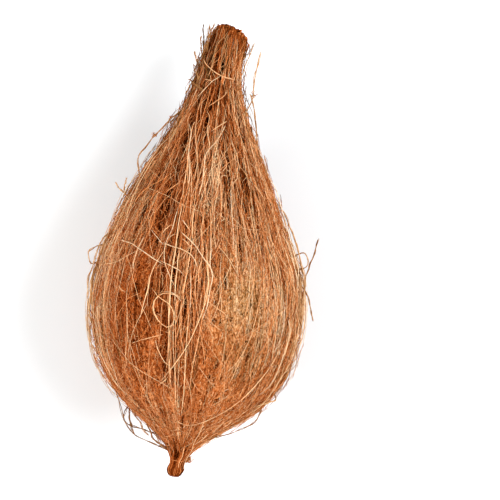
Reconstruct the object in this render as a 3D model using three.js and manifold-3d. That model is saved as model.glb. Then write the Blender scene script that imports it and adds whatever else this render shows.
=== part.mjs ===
// A whole coconut in its own coir, lying on its side. The coir is combed up into a blunt tuft
// at the stalk end and drawn together in a small twisted knot at the other end. Husk, tuft,
// knot and loose strands grew as one piece, so they are one solid.
// Units are millimetres. +Z is up, +Y runs along the coconut towards the tuft, and the origin
// is the middle of the flat spot that the coconut rests on.
import * as THREE from "three";
import { mergeVertices } from "three/addons/utils/BufferGeometryUtils.js";
import Module from "manifold-3d";

const wasm = await Module();
wasm.setup();

// Half-width at each distance from the tip of the knot, up to the domed end of the tuft.
const TUFT_END = 237;
const OUTLINE = [
  [0, 0], [0.5, 2.6], [3.8, 4.4], [8, 3.6], [12.5, 5.8], [18.5, 10.5], [27.5, 22], [38, 35],
  [50, 45], [66, 53], [87, 57.5], [109, 54.6], [130, 46.5], [150, 38], [170, 28.6], [188, 19.4],
  [204, 13.6], [219, 11.2], [230, 10.8], [235, 9.4], [236.6, 5], [TUFT_END, 0],
];
// How far the middle of the coir strays sideways, at each distance from the tip.
const SIDE_BEND = [[-20, 0], [0, 0], [20, 1.6], [45, 1.9], [88, 0.2], [140, -1.9],
  [190, -3], [216, -2.4], [TUFT_END, -0.4], [260, 1]];

const DIP = THREE.MathUtils.degToRad(6); // the tuft end lies this much lower than level
const PRESSED = 2.6; // the coir is pressed flat by this much where the coconut rests
const REST_MIDDLE = 2.5; // middle of the flat spot, ahead of the lowest point before pressing
const CALM_FROM = 24; // the coir is smooth within this distance of the rest spot
const CALM_TO = 44; // and has its full ridges beyond this distance

const LOBE = 0.018; // a coconut is faintly three-sided, with one rounded edge on top
// The combed ridges: how many go round, their height, and how they weave along the length.
const COMBING = [
  { ridges: 35, height: 0.34, weave: 2.4, every: 17 },
  { ridges: 23, height: 0.36, weave: -1.9, every: 25 },
  { ridges: 14, height: 0.34, weave: 1.3, every: 41 },
];
const LOCKS = 9; // locks that the neck and the shoulders part into
const FURROW = 2; // depth of the furrows between the locks
const LOCK_LEAN = 0.15; // turns that the locks lean round over the whole length
const FULLEST_LOCKS = 180; // where the furrows are deepest, from the tip
const LOCK_SPAN = 42; // and how soon they fade on either side
const SLANT = 0.28; // the tuft is cut off at a slant, shorter on one side
const RAGGED = 0.9; // and the cut is uneven by this much
const CUT_FROM = 215; // the slant begins here
const FULL_RELIEF_FROM = 16; // the ridges are lower where the half-width is less than this

const RINGS = 29;
const SECTORS = 100;

const STRAND = 0.62; // from the middle of a loose strand to its corners
const STRAND_STEPS = 8;
const ROOT = -1.8; // how deep a strand's root is sunk

// Loose strands seen from above: each point is [from the tip, across, clear of the coir].
const LAID_STRANDS = [
  // long arc round the lower right
  [[38, -5, ROOT], [29, -2, 1.4], [29, 8, 1.6], [41, 26, 1.6], [59, 40, 1.6], [79, 49, ROOT]],
  // down the middle, below the top edge
  [[30, -1, ROOT], [45, -1, 1.5], [74, -3, 2], [101, -4, ROOT]],
  [[46, 2, ROOT], [60, 2, 1.8], [89, 4, 2.4], [114, 1, ROOT]],
  [[47, -15, ROOT], [58, -8, 2.2], [75, 0, 3], [101, 5, 3], [128, -1, ROOT]],
  [[44, -8, ROOT], [62, -11, 2], [102, -15, 2.6], [150, -14, ROOT]],
  [[78, -28, ROOT], [96, -27, 2.2], [118, -21, 3], [146, -14, ROOT]],
  [[88, -14, ROOT], [111, -14, 2.8], [136, -15, 2.6], [160, -12, ROOT]],
  [[147, -14, ROOT], [166, -14, 2.2], [182, -14, 2.2], [196, -18, ROOT]],
  [[84, 9, ROOT], [112, 7, 2.4], [142, 4, 2.6], [176, -4, ROOT]],
  // a curl on the left
  [[98, -26, ROOT], [90, -16, 2.6], [81, -10, 3], [77, -16, 3], [84, -22, 2.4], [93, -24, ROOT]],
  // across the ridge, from the upper left
  [[136, -40, ROOT], [126, -28, 2.2], [120, -16, 3.2], [110, 3, ROOT]],
  [[120, -45, ROOT], [113, -29, 2.4], [109, -15, 3.2], [98, -6, ROOT]],
  // across the neck
  [[222, -15, 3.5], [212, -8, 2.2], [205, 3, 1.6], [200, 13, ROOT]],
  [[185, -15, ROOT], [194, -8, 1.8], [204, 3, 2], [214, 8, ROOT]],
  [[178, -8, ROOT], [186, 1, 2.2], [194, 8, 2], [203, 11, ROOT]],
  // clear of the outline on the left
  [[146, -44, ROOT], [160, -41, 8], [174, -35, 10], [188, -22, ROOT]],
  [[70, -56, ROOT], [94, -59, 3.4], [118, -56, 5], [143, -46, ROOT]],
  [[80, -58, ROOT], [101, -60, 5], [124, -58, 9], [142, -50, 8]],
  // drooping strands at the lower left
  [[47, -44, ROOT], [38, -36, 5], [24, -28, 12], [15, -14, 7], [10, -4, ROOT]],
  [[40, -36, ROOT], [28, -25, 4], [18, -14, 6], [12, -4, ROOT]],
  // clear of the outline on the right
  [[84, 58, ROOT], [97, 63, 6], [114, 58, 6], [138, 43, ROOT]],
  [[96, 57, ROOT], [112, 58, 7], [128, 58, 15], [134, 60, 20]],
  [[22, 12, ROOT], [27, 27, 6], [35, 39, 7], [44, 44, ROOT]],
  [[190, 13, ROOT], [206, 15, 4], [221, 16, 5], [234, 17, 6]],
  // round the waist of the knot
  [[9, -4, ROOT], [8.6, -2, 0.6], [8.2, 1, 0.7], [8.6, 4, 0.3], [9.4, 4.6, ROOT]],
];

// More loose strands on the flanks and underneath. Angles go round from the right-hand side,
// with 90 degrees on top and 270 underneath.
const FLANK_STRANDS = 32;
const FLANK_FROM = 152;
const FLANK_SWEEP = 236;
const FLANK_NEAREST = 18; // where the one nearest to the tip is rooted
const FLANK_FARTHEST = 158; // and the one nearest to the tuft
const PAST_REST = 130; // those underneath are rooted beyond this, clear of the rest spot
const UNDERNEATH = -0.84; // sine of the angles that count as underneath
const FLANK_LENGTH = [36, 68];
const FLANK_SWAY = 9; // most that one strays sideways
const FLANK_CLEAR = [1.3, 2.6]; // how far one arches clear of the coir

// Stiff strand ends that stand out of the cut end of the tuft.
const TUFT_STRANDS = 10;
const TUFT_ROOT = [5.5, 8]; // from the middle of the tuft to a root
const TUFT_REACH = [2, 5]; // how far they stand out
const TUFT_SPLAY = 2; // and how far they lean outwards

// A plain repeatable draw of numbers from 0 to 1 (the Park-Miller rule).
let seed = 20713;
const draw = (low = 0, high = 1) => {
  seed = (seed * 16807) % 2147483647;
  return low + ((high - low) * seed) / 2147483647;
};

const curveOf = (pairs) => new THREE.SplineCurve(pairs.map(([s, v]) => new THREE.Vector2(v, s)));
const outline = curveOf(OUTLINE);

// The value of a [distance, value] table at a distance, read off its smooth curve.
function reader(curve) {
  const points = curve.getPoints(600);
  return (s) => {
    const next = Math.max(1, points.findIndex((p) => p.y >= s));
    const [a, b] = [points[next - 1], points[next]];
    return THREE.MathUtils.mapLinear(s, a.y, b.y, a.x, b.x);
  };
}
const halfWidth = reader(outline);
const sideBend = reader(curveOf(SIDE_BEND));

// The rest pose: the tuft end is turned down by DIP, the lowest point of the underside is
// found, and the middle of the flat spot pressed into it becomes the origin.
const lengthwise = new THREE.Matrix4().makeRotationX(-DIP);
const lowest = outline
  .getPoints(600)
  .map((p) => ({ s: p.y, at: new THREE.Vector3(0, p.y, -p.x * (1 - LOBE)).applyMatrix4(lengthwise) }))
  .reduce((low, p) => (p.at.z < low.at.z ? p : low));
const restPose = new THREE.Matrix4()
  .makeTranslation(-sideBend(lowest.s), -lowest.at.y - REST_MIDDLE, -lowest.at.z - PRESSED)
  .multiply(lengthwise);

// Height of the combed coir over its smooth outline: ridges everywhere, and deeper furrows
// that part the neck and the shoulders into locks. The underside is smooth round the rest spot.
function relief(s, angle) {
  const girth = halfWidth(s);
  const combed = COMBING.map(
    ({ ridges, height, weave, every }) =>
      height * Math.cos(ridges * angle + weave * Math.sin(s / every)),
  ).reduce((sum, height) => sum + height);
  const lean = (2 * Math.PI * LOCK_LEAN * s) / TUFT_END;
  const lock = Math.abs(Math.sin((LOCKS / 2) * (angle - lean)));
  const furrow = FURROW * Math.exp(-(((s - FULLEST_LOCKS) / LOCK_SPAN) ** 2)) * (1 - lock) ** 2;
  const fromRest = Math.hypot(girth * Math.cos(angle), s - lowest.s - REST_MIDDLE);
  const calm = Math.sin(angle) < 0 ? THREE.MathUtils.smoothstep(fromRest, CALM_FROM, CALM_TO) : 1;
  return calm * Math.min(1, girth / FULL_RELIEF_FROM) * (combed - furrow);
}

// A point at a distance s from the tip, at an angle round the coir, this far clear of it.
function onCoir(s, angle, clear) {
  const lobed = halfWidth(s) * (1 + LOBE * Math.cos(3 * (angle - Math.PI / 2)));
  const r = Math.max(0, lobed + clear);
  const cut = THREE.MathUtils.smoothstep(s, CUT_FROM, TUFT_END);
  const uneven = SLANT * r * Math.cos(angle) + RAGGED * Math.sin(7 * angle) * Math.sin(r);
  return new THREE.Vector3(
    sideBend(s) + r * Math.cos(angle),
    s - cut * uneven,
    r * Math.sin(angle),
  );
}

function solidOf(geometry, pose) {
  geometry.deleteAttribute("normal");
  geometry.deleteAttribute("uv");
  geometry.applyMatrix4(pose);
  const merged = mergeVertices(geometry, 1e-4);
  return new wasm.Manifold(
    new wasm.Mesh({
      numProp: 3,
      vertProperties: merged.attributes.position.array,
      triVerts: new Uint32Array(merged.index.array),
    }),
  );
}

// The husk is turned about the coconut's length, then its surface is raised into combed coir.
function husk() {
  const geometry = new THREE.LatheGeometry(outline.getPoints(RINGS), SECTORS);
  const position = geometry.getAttribute("position");
  for (let i = 0; i < position.count; i++) {
    const [x, s, z] = [position.getX(i), position.getY(i), position.getZ(i)];
    const angle = Math.atan2(z, x);
    const onAxis = Math.hypot(x, z) < 1e-6;
    const point = onAxis ? new THREE.Vector3(sideBend(s), s, 0) : onCoir(s, angle, relief(s, angle));
    position.setXYZ(i, point.x, point.y, point.z);
  }
  return solidOf(geometry, restPose);
}

// A loose strand: a thin three-sided tube along a smooth curve through its points.
function strand(points) {
  const corners = [0, 120, 240].map((degrees) => {
    const turn = THREE.MathUtils.degToRad(degrees);
    return new THREE.Vector2(STRAND * Math.cos(turn), STRAND * Math.sin(turn));
  });
  const geometry = new THREE.ExtrudeGeometry(new THREE.Shape(corners), {
    steps: STRAND_STEPS,
    extrudePath: new THREE.CatmullRomCurve3(points),
    bevelEnabled: false,
  });
  return solidOf(geometry, restPose);
}

// The angle round the coir of a point that is seen this far across from above.
function angleAcross(s, across, clear) {
  const cosine = (across - sideBend(s)) / (halfWidth(s) + clear);
  return Math.acos(THREE.MathUtils.clamp(cosine, -1, 1));
}

function laidStrands() {
  return LAID_STRANDS.map((points) =>
    strand(points.map(([s, across, clear]) => onCoir(s, angleAcross(s, across, clear), clear))),
  );
}

// Strands down the flanks, each bridging from root to root with a slow sideways sway. The
// golden ratio spreads their roots evenly along the coconut.
function flankStrands() {
  return Array.from({ length: FLANK_STRANDS }, (_, i) => {
    const share = (i + draw(0.1, 0.9)) / FLANK_STRANDS;
    const angle = THREE.MathUtils.degToRad(FLANK_FROM + FLANK_SWEEP * share);
    const nearest = Math.sin(angle) < UNDERNEATH ? PAST_REST : FLANK_NEAREST;
    const from = THREE.MathUtils.lerp(nearest, FLANK_FARTHEST, (i * 0.618) % 1);
    const length = draw(...FLANK_LENGTH);
    const sway = draw(-FLANK_SWAY, FLANK_SWAY);
    const clear = draw(...FLANK_CLEAR);
    const points = [0, 0.25, 0.5, 0.75, 1].map((along) => {
      const s = from + along * length;
      const arch = Math.sin(Math.PI * along);
      const turned = (sway * (along - 0.5 + 0.5 * arch)) / Math.max(halfWidth(s), FULL_RELIEF_FROM);
      return onCoir(s, angle + turned, THREE.MathUtils.lerp(ROOT, clear, arch ** 0.3));
    });
    return strand(points);
  });
}

function tuftStrands() {
  return Array.from({ length: TUFT_STRANDS }, (_, i) => {
    const angle = (2 * Math.PI * (i + draw(0.2, 0.8))) / TUFT_STRANDS;
    const out = draw(...TUFT_ROOT);
    const rim = TUFT_END - SLANT * out * Math.cos(angle);
    const at = (s, r) =>
      new THREE.Vector3(sideBend(s) + r * Math.cos(angle), s, r * Math.sin(angle));
    return strand([
      at(rim - 9, out),
      at(rim, out + TUFT_SPLAY / 3),
      at(rim + draw(...TUFT_REACH), out + TUFT_SPLAY),
    ]);
  });
}

// What the coconut rests on, which presses the underside flat.
const GROUND = 400;
const ground = solidOf(
  new THREE.BoxGeometry(GROUND, GROUND, GROUND).translate(0, 0, -GROUND / 2),
  new THREE.Matrix4(),
);
const whole = [...laidStrands(), ...flankStrands(), ...tuftStrands()]
  .reduce((joined, piece) => joined.add(piece), husk())
  .subtract(ground);

const solid = whole.getMesh();
const geometry = new THREE.BufferGeometry()
  .setAttribute("position", new THREE.BufferAttribute(solid.vertProperties, 3))
  .setIndex(new THREE.BufferAttribute(solid.triVerts, 1));
geometry.computeVertexNormals();

const coir = new THREE.MeshStandardMaterial({ color: 0xb8774b, roughness: 0.9, metalness: 0 });
const coconut = new THREE.Mesh(geometry, coir);
coconut.name = "coconut";

const part = new THREE.Group();
part.add(coconut);
export default part;
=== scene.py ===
"""A whole coconut in its combed coir, lying on its side on a pale floor.

Sizes are in millimetres, and MM turns them into metres. A place on the coir is given by its
distance from the tip of the knot, measured along the coconut or along the coir itself, by the
angle round it, with 90 degrees on top, and by how far it is clear of the husk.
"""

import math

import bmesh
import bpy
import numpy as np
from mathutils import Matrix, Vector


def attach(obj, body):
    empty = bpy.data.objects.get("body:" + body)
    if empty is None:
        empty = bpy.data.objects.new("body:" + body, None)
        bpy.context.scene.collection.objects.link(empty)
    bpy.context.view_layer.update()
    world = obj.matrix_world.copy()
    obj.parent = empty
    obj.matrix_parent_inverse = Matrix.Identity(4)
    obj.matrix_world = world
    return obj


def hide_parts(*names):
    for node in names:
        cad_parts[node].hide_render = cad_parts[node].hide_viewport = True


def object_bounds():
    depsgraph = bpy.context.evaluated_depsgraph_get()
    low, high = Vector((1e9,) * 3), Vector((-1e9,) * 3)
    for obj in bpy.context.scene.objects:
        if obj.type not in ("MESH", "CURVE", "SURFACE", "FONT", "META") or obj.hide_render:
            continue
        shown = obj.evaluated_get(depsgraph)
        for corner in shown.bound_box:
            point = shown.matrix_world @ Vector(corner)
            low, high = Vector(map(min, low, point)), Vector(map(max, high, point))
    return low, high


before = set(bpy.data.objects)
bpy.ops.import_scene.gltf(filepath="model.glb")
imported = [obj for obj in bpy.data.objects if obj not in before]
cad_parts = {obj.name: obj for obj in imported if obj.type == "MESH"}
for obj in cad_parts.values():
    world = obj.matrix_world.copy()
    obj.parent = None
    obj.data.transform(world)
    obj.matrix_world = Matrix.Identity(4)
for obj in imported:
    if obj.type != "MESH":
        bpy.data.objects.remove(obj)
CAD_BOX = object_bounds()

MM = 0.001
TOP = math.pi / 2  # the angle of the upper side

# The outline of the coir: half-width at each distance from the tip of the knot.
TUFT_END = 238.2
TUFT_HALF = 10.8
OUTLINE = [
    (0, 0), (0.5, 2.6), (3.8, 4.4), (8, 3.6), (12.5, 5.8), (18.5, 10.5), (27.5, 22), (38, 35),
    (50, 45), (66, 53), (87, 57.5), (109, 54.6), (130, 46.5), (150, 38), (170, 28.6),
    (188, 19.4), (204, 13.6), (219, 11.2), (230, TUFT_HALF), (236.5, 9.9), (237.9, 5.4),
    (TUFT_END, 0),
]
CUT_EDGE = 3  # this many of its last points round off the cut end of the tuft
SHEATH_END = 246.0  # the sheath that strands lie on runs straight on to here instead
# How far the middle of the coir strays sideways.
SIDE_BEND = [(-20, 0), (0, -0.6), (20, 1.6), (45, 1.9), (88, 0.2), (140, -1.9), (190, -3),
             (216, -2.4), (TUFT_END, -0.4), (260, 1)]

DIP = math.radians(6)  # the tuft lies this much lower than level
PRESSED = 2.6  # how far the underside is pressed flat
REST_MIDDLE = 2.5  # how far nearer to the tuft the middle of the flat spot is than the lowest place
# Round the flat spot the relief sets in between these distances.
CALM_FROM = 24
CALM_TO = 44
# Faint rounded edges run along the coconut, one of them on top: how many, and their height as a
# share of the half-width.
LOBES = 3
LOBE = 0.018
# Combed ridges: how many go round, their height, and how they weave along the length.
COMBING = [(35, 0.34, 2.4, 17), (23, 0.36, -1.9, 25), (14, 0.34, 1.3, 41)]
FULL_RELIEF_FROM = 16  # the half-width from which the relief has its full height
# Furrows between the locks of the neck: their number and depth, how much of a turn they wind
# along the coconut, where they are deepest and how far they reach.
LOCKS = 9
FURROW = 2.0
LOCK_LEAN = 0.15
FULLEST_LOCKS = 180
LOCK_SPAN = 42
# The cut end of the tuft slants and is a little ragged, with this many teeth round it.
SLANT = 0.28
RAGGED = 0.9
TEETH = 7
CUT_FROM = 215
# The open ridges, in degrees: one on top and one low on each side.
OPEN_RIDGES = (97, 200, 332)


# ---- the form of the coir ----

def smooth_curve(points, count=600):
    """Even steps along the smooth curve through some points."""
    points = np.asarray(points, float)
    place = np.linspace(0, len(points) - 1, count + 1)
    here = np.minimum(place.astype(int), len(points) - 2)
    t = (place - here)[:, None]
    before, start = points[np.maximum(here - 1, 0)], points[here]
    end, after = points[here + 1], points[np.minimum(here + 2, len(points) - 1)]
    leave, arrive = (end - before) / 2, (after - start) / 2
    cubic = 2 * (start - end) + leave + arrive
    square = 3 * (end - start) - 2 * leave - arrive
    return start + leave * t + square * t**2 + cubic * t**3


def smoothstep(value, low, high):
    """Goes smoothly from 0 to 1 between two values."""
    t = np.clip((value - low) / (high - low), 0, 1)
    return t * t * (3 - 2 * t)


def reader(table):
    """Reads the second column of a table at any value of the first."""
    return lambda s: np.interp(s, table[:, 0], table[:, 1])


def short_way(angle):
    """The same turn, the short way round."""
    return (angle + math.pi) % math.tau - math.pi


def apart_from(angle, degrees):
    return short_way(angle - math.radians(degrees))


def near_to(s, angle, place, degrees, reach, sweep):
    """1 at a place on the coir, falling to 0 along it and round it."""
    return np.exp(-(((s - place) / reach) ** 2)
                  - (apart_from(angle, degrees) / math.radians(sweep)) ** 2)


outline_points = smooth_curve(OUTLINE)
sheath_points = np.vstack([smooth_curve(OUTLINE[:-CUT_EDGE]), [(SHEATH_END, TUFT_HALF)]])
husk_width = reader(outline_points)
sheath_width = reader(sheath_points)
side_bend = reader(smooth_curve(SIDE_BEND))


def path_lengths(points):
    """How far along its path each point lies."""
    return np.concatenate([[0], np.cumsum(np.hypot(*np.diff(points, axis=0).T))])


# The same sheath measured along the coir instead of along the coconut.
ALONG = path_lengths(sheath_points)


def from_tip(along):
    return np.interp(along, ALONG, sheath_points[:, 0])


def along_coir(s):
    return float(np.interp(s, sheath_points[:, 0], ALONG))


# Strands lie between these places, measured along the coir.
FIRST_PLACE = 1.2
LAST_PLACE = along_coir(235.6)


def rest_pose():
    """The lowest place of the underside, and the shift that brings the flat spot to the origin."""
    s, width = outline_points.T
    width = width * (1 - LOBE)
    y = s * math.cos(DIP) - width * math.sin(DIP)
    z = -s * math.sin(DIP) - width * math.cos(DIP)
    low = int(np.argmin(z))
    shift = np.array([-side_bend(s[low]), -y[low] - REST_MIDDLE, -z[low] - PRESSED])
    return s[low], shift


LOWEST, REST_SHIFT = rest_pose()


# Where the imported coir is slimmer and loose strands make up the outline: distance from the tip,
# turn in degrees, reach along and round, and how much slimmer.
SLIMMER = [(98, 178, 34, 32, 3.8), (176, 184, 24, 40, 1.5), (86, 2, 28, 30, 3.0),
           (132, 2, 24, 30, 1.8), (168, 0, 24, 40, 0.8), (215, 10, 14, 60, 1.6),
           (234, 172, 12, 55, 3.4)]


def relief(s, angle):
    """Height of the combed ridges, of the furrows of the neck and of the slimmer places."""
    girth = sheath_width(s)
    combed = sum(height * np.cos(ridges * angle + weave * np.sin(s / every))
                 for ridges, height, weave, every in COMBING)
    lean = math.tau * LOCK_LEAN * s / TUFT_END
    lock = np.abs(np.sin(LOCKS / 2 * (angle - lean)))
    furrow = FURROW * np.exp(-(((s - FULLEST_LOCKS) / LOCK_SPAN) ** 2)) * (1 - lock) ** 2
    from_rest = np.hypot(girth * np.cos(angle), s - LOWEST - REST_MIDDLE)
    calm = np.where(np.sin(angle) < 0, smoothstep(from_rest, CALM_FROM, CALM_TO), 1)
    slimmer = sum(less * near_to(s, angle, *place) for *place, less in SLIMMER)
    return calm * np.minimum(1, girth / FULL_RELIEF_FROM) * (combed - furrow) - slimmer


def on_coir(s, angle, clear, width=sheath_width):
    """A place in metres, in the rest pose."""
    radius = np.maximum(width(s) * (1 + LOBE * np.cos(LOBES * (angle - TOP))) + clear, 0)
    cut = smoothstep(s, CUT_FROM, TUFT_END)
    uneven = SLANT * radius * np.cos(angle) + RAGGED * np.sin(TEETH * angle) * np.sin(radius)
    return posed(side_bend(s) + radius * np.cos(angle), s - cut * uneven, radius * np.sin(angle))


def posed(x, y, z):
    """Turns places by the dip and shifts them so that the flat spot is at the origin."""
    turned_y = y * math.cos(DIP) + z * math.sin(DIP)
    turned_z = z * math.cos(DIP) - y * math.sin(DIP)
    return (np.stack([x, turned_y, turned_z], axis=-1) + REST_SHIFT) * MM


# Places where the coir differs: distance from the tip, turn round it in degrees, how far the
# place reaches along and round, how much paler it is there, how much more open, with gaps
# between combed strands, and how much more felted.
AREAS = [
    (100, 68, 34, 20, 0.12, -0.30, 0.30),  # felted patch on top, right of the middle
    (112, 97, 44, 9, 0, 0.85, -0.60),  # open ridge on top
    (130, 200, 46, 12, 0, 0.75, -0.50),  # open ridge low on the left
    (115, 332, 46, 12, 0, 0.75, -0.50),  # open ridge low on the right
    (105, 124, 36, 16, -0.07, 0, 0.25),  # reddish hollow on the left
    # painted light: the combed side on the left is also painted paler, on the side the lamps light
    # less
    (92, 152, 42, 16, 0.24, 0.35, -0.50),  # combed side on the left
    (108, 34, 44, 15, 0.16, 0.20, -0.55),  # combed side on the right
    (160, 62, 24, 18, 0.08, 0.15, 0),  # right shoulder
    # painted shade: the hollows where the strands reach the knot are painted darker
    (13, 118, 5, 34, -0.42, 0.5, 0),  # dark hollows where the strands reach the knot
    (216, 62, 14, 16, 0.10, -0.20, 0),  # pale locks at both edges of the neck
    (200, 32, 18, 22, 0.38, -0.20, 0),
    (204, 82, 13, 7, -0.14, 0.25, 0),
    (181, 113, 6, 6, -0.14, 0.2, 0),
    (90, 270, 44, 40, 0.04, -0.30, 0.30),  # felted patch on the underside
]
# Places that are only paler or darker: where, how far they reach, and how much paler.
TINTS = [
    # all round: the slope down to the knot, the neck, painted darker as shade of its deep gaps, the
    # end of the tuft and the knot
    (34, 90, 18, 400, 0.18), (200, 90, 30, 400, -0.12), (232, 90, 14, 400, -0.19),
    (3, 90, 7, 400, -0.3),
    # the neck, with its darker middle painted as shade of the fissures there
    (190, 148, 14, 16, 0.36), (172, 154, 16, 12, 0.30), (211, 158, 8, 14, 0.14),
    (201, 94, 13, 20, -0.30), (175, 84, 9, 9, 0.10), (187, 98, 6, 6, 0.16), (184, 150, 9, 12, 0.14),
    (207, 48, 6, 10, 0.12), (185, 32, 12, 14, 0.30),
    # the shoulders
    (150, 134, 26, 16, 0.08), (160, 92, 26, 12, 0.22), (163, 105, 10, 6, -0.12),
    (155, 50, 12, 10, -0.12), (157, 85, 8, 7, 0.10), (154, 86, 14, 7, 0.12), (152, 107, 9, 6, 0.12),
    (152, 56, 9, 6, -0.10), (156, 80, 20, 12, 0.26), (141, 117, 12, 9, -0.12),
    # low down
    (52, 132, 18, 30, -0.06), (58, 90, 16, 26, 0.11), (62, 45, 20, 24, -0.12),
    (37, 70, 7, 12, -0.10), (60, 72, 16, 15, -0.09), (43, 73, 11, 24, -0.05),
    (56, 4, 10, 16, -0.20), (38, 28, 9, 18, -0.12), (40, 134, 12, 16, -0.14),
    (20, 68, 6, 30, -0.10),
    # the body, on the left: the two pale strips along the left edge are painted light, on the side
    # the lamps light less
    (76, 106, 8, 4, 0.10), (137, 163, 18, 9, 0.26), (108, 156, 26, 8, 0.24),
    (88, 121, 16, 13, -0.13), (129, 103, 13, 7, -0.18), (65, 115, 10, 12, -0.06),
    # in the middle
    (94, 99.5, 24, 3, -0.22), (121, 90, 14, 4, 0.16), (80, 93.5, 14, 4, 0.14),
    (117, 84, 9, 5, -0.14), (98, 90, 9, 5, -0.14), (81, 81, 7, 6, 0.12),
    # on the right
    (103, 63, 9, 5, -0.14), (78, 74, 8, 5, -0.08), (128, 63, 16, 13, 0.17), (90, 58, 14, 8, -0.07),
    (73, 70, 7, 8, -0.08), (82, 36, 18, 10, 0.06),
]


# Where the coir is dusty, a paler and greyer tan: the place, how far it reaches, and how dusty.
DUSTY = [(98, 64, 26, 19, 0.95), (64, 60, 14, 14, 0.5), (95, 36, 40, 12, 0.35),
         (100, 265, 40, 34, 0.6), (76, 158, 20, 10, 0.4), (224, 115, 20, 45, 0.45)]


def dustiness(s, angle):
    return np.clip(sum(dust * near_to(s, angle, *place) for *place, dust in DUSTY), 0, 1)


OPENS = (115, 160)  # the coir opens up the shoulders between these distances from the tip,
CLOSES = (225, 236)  # and closes again at the cut end
FELT_THINS = (50, 95)  # the felt grows thinner between these,
FELT_ENDS = (120, 165)  # and ends between these


def areas(s, angle):
    """How much paler the coir is at a place, and how open and how felted, from 0 to 1."""
    paler = 0.0
    openness = 0.1 + 0.8 * smoothstep(s, *OPENS) - 0.7 * smoothstep(s, *CLOSES)
    felted = 0.65 + 0.25 * (1 - smoothstep(s, *FELT_THINS)) - 0.65 * smoothstep(s, *FELT_ENDS)
    for *place, pale, opener, felt in AREAS:
        near = near_to(s, angle, *place)
        paler = paler + pale * near
        openness = openness + opener * near
        felted = felted + felt * near
    for *place, pale in TINTS:
        paler = paler + pale * near_to(s, angle, *place)
    return paler, np.clip(openness, 0, 1), np.clip(felted, 0, 1)


def mottle(s, angle):
    """Slow and patchy changes of tone over the coir."""
    rng = np.random.default_rng(5)
    broad = drift(rng, s, angle, 0.035, waves=6, turns=5, shortest=15, longest=56)
    patchy = drift(rng, s, angle, 0.05, waves=7, turns=26)
    streaky = drift(rng, s, angle, 0.05, waves=8, turns=75, shortest=16, longest=60)
    return broad + patchy + streaky


def drift(rng, s, angle, strength, waves, turns, shortest=9, longest=34):
    """Smooth uneven noise over the coir, without a seam."""
    total = np.zeros(np.broadcast(s, angle).shape)
    for _ in range(waves):
        around = rng.integers(1, turns + 1) * rng.choice([-1, 1])
        every = rng.uniform(shortest, longest)
        total += np.sin(around * angle + s / every + rng.uniform(0, math.tau))
    return strength * total / math.sqrt(waves)


# Dark slits where the combed strands part, the husk in them deeper and painted darker as shade: the
# middle of each, from the tip and round in degrees, half its length and half its width, and how
# many degrees it turns in each millimetre.
SLITS_ON_TOP = [
    (217.3, 121.2, 7, 0.9, 0), (205.3, 112.1, 8, 1.0, 0.3), (197.2, 108.6, 5, 0.8, 0.4),
    (189.6, 99.4, 9, 0.8, 0.1), (215.2, 86.8, 6, 0.8, 0), (194.1, 81.3, 5, 0.6, 0),
    (233.3, 52.6, 3.5, 1, 0.1), (187.7, 127, 3, 0.8, 0.5), (183.8, 109.6, 4, 0.7, 0.4),
    (177.6, 61.1, 3, 0.7, -0.3), (170.7, 64, 3, 0.6, -0.4), (172.1, 118.9, 7, 1.3, 0.28),
    (162.5, 100.9, 4.5, 0.9, -0.1), (160.2, 117.9, 3.5, 0.8, 0.5), (157.3, 57.4, 3, 0.8, 0.3),
    (152.3, 62.3, 7, 0.9, 0.39), (151.4, 56.7, 4, 0.8, 0.34), (154.2, 101.4, 3, 0.8, 0.05),
    (145.4, 118.4, 4.5, 0.8, -0.07), (133.4, 106.4, 4, 0.6, 0.06), (112.4, 102.8, 15, 1.0, 0),
    (80.2, 100.3, 4, 0.9, 0), (67.1, 97.8, 3, 0.8, 0), (15.5, 149.1, 2.2, 1.2, 0),
    (12.6, 131.6, 1.4, 0.9, 0), (12.7, 106.8, 1.5, 0.9, 0), (10.9, 103.2, 1, 0.8, 0),
    (6.4, 50.1, 1.6, 0.7, 0),
    (123.8, 98.3, 2, 0.9, 0), (134, 98, 1.6, 0.8, 0), (142.7, 96, 2, 0.8, 0),
    (135.5, 85.5, 2, 0.8, 0), (129.3, 101.3, 1.6, 0.8, 0), (139.5, 88.5, 1.6, 0.7, 0),
    (146, 92.5, 2, 0.7, 0),
]


def draw_slits():
    """Adds narrower slits all round: in the neck, along the open ridges and in the felt."""
    rng = np.random.default_rng(91)
    slits = list(SLITS_ON_TOP)

    def strew(count, low, high, reach, half):
        """Slits between two distances from the tip, all round."""
        for _ in range(count):
            slits.append((rng.uniform(low, high), rng.uniform(0, 360), rng.uniform(*reach),
                          rng.uniform(*half), 0.0))

    strew(210, low=118, high=175, reach=(2, 9), half=(0.3, 0.8))
    strew(60, low=170, high=228, reach=(2, 8), half=(0.35, 1))
    for ridge in OPEN_RIDGES:
        for _ in range(26):
            slits.append((rng.normal(112, 28), ridge + rng.normal(0, 8), rng.uniform(2, 9),
                          rng.uniform(0.3, 0.8), 0.0))
    strew(190, low=26, high=135, reach=(1, 4.5), half=(0.2, 0.45))
    return slits


SLITS = draw_slits()
NARROWEST = 4  # strands near the tip are moved aside as if the coir were this wide
MOVED_REACH = 3  # strands up to about this many half-widths from a slit are moved aside
SLIT_EDGE = 1.6  # the husk lies deeper up to this many half-widths from its middle


def parted(s, angle):
    """Moves strands aside at the slits; gives their new angles, and 1 in the middle of a slit."""
    width = np.maximum(sheath_width(s), NARROWEST)
    moved, inside = angle, 0 * angle
    for place, turn, reach, half, lean in SLITS:
        opening = np.sqrt(np.clip(1 - ((s - place) / reach) ** 2, 0, 1)) * half / width
        apart = apart_from(angle - np.radians(lean) * (s - place), turn)
        near = opening * np.exp(-((apart / (MOVED_REACH * half / width)) ** 2))
        moved = moved + np.where(apart < 0, -near, near)
        inside = np.maximum(inside, np.where(np.abs(apart) < SLIT_EDGE * opening, 1, 0))
    return moved, inside


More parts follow.
